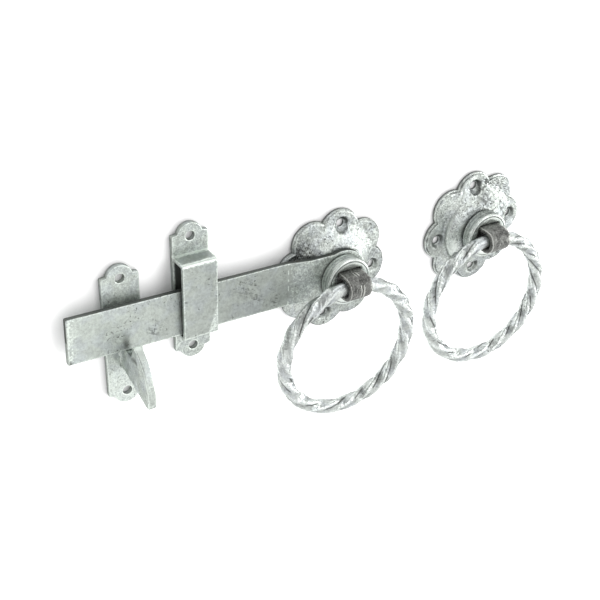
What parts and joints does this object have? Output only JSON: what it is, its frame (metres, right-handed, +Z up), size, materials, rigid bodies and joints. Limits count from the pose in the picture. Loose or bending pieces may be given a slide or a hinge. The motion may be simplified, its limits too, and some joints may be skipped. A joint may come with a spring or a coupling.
{
  "type": "twisted ring gate latch",
  "caption": "Galvanised ring gate latch: cranked lift bar on a lobed rose, twisted ring handles, bent keep and ramped hook catch.",
  "frame": {"origin": "where the latch spindle's axis meets the gate face", "axes": "+Z up, +Y out of the back of the hardware into the gate, +X from the latch bar's free end to the spindle"},
  "size_m": [0.2924, 0.0936, 0.1301],
  "materials": {
    "galvanised_casting": "hot-dip galvanised casting, bright and patchy",
    "galvanised_strip": "hot-dip galvanised strip, dull mottled grey",
    "galvanised_ring": "hot-dip galvanised twisted bar, bright ridges",
    "bare_steel": "dark bare steel"
  },
  "bodies": {
    "gate_fixings": {"latch_rose": "galvanised_casting", "handle_rose": "galvanised_casting", "keep_plate": "galvanised_strip", "keep_bridge": "galvanised_strip", "catch_plate": "galvanised_strip", "catch_hook": "galvanised_strip"},
    "latch_spindle": {"latch_hub": "galvanised_casting", "latch_bar": "galvanised_strip", "latch_strap": "bare_steel", "latch_washer": "bare_steel"},
    "latch_ring": {"latch_ring": "galvanised_ring"},
    "handle_spindle": {"handle_hub": "galvanised_casting", "handle_strap": "bare_steel", "handle_washer": "bare_steel", "handle_spindle": "bare_steel", "spindle_rivet": "bare_steel"},
    "handle_ring": {"handle_ring": "galvanised_ring"}
  },
  "joints": [
    {"name": "latch_lift", "type": "hinge", "parent": "gate_fixings", "child": "latch_spindle", "pos_m": [0, 0, 0], "axis": [0, 1, 0], "range_deg": [0, 8]},
    {"name": "latch_ring_swing", "type": "hinge", "parent": "latch_spindle", "child": "latch_ring", "pos_m": [0, -0.0239, 0], "axis": [-1, 0, 0], "range_deg": [-8.5, 180]},
    {"name": "handle_turn", "type": "hinge", "parent": "gate_fixings", "child": "handle_spindle", "pos_m": [0.0985, 0, 0.001], "axis": [0, 1, 0], "range_deg": [-8, 8]},
    {"name": "handle_ring_swing", "type": "hinge", "parent": "handle_spindle", "child": "handle_ring", "pos_m": [0.0985, -0.0207, 0.001], "axis": [-1, 0, 0], "range_deg": [-10.4, 180]}
  ]
}
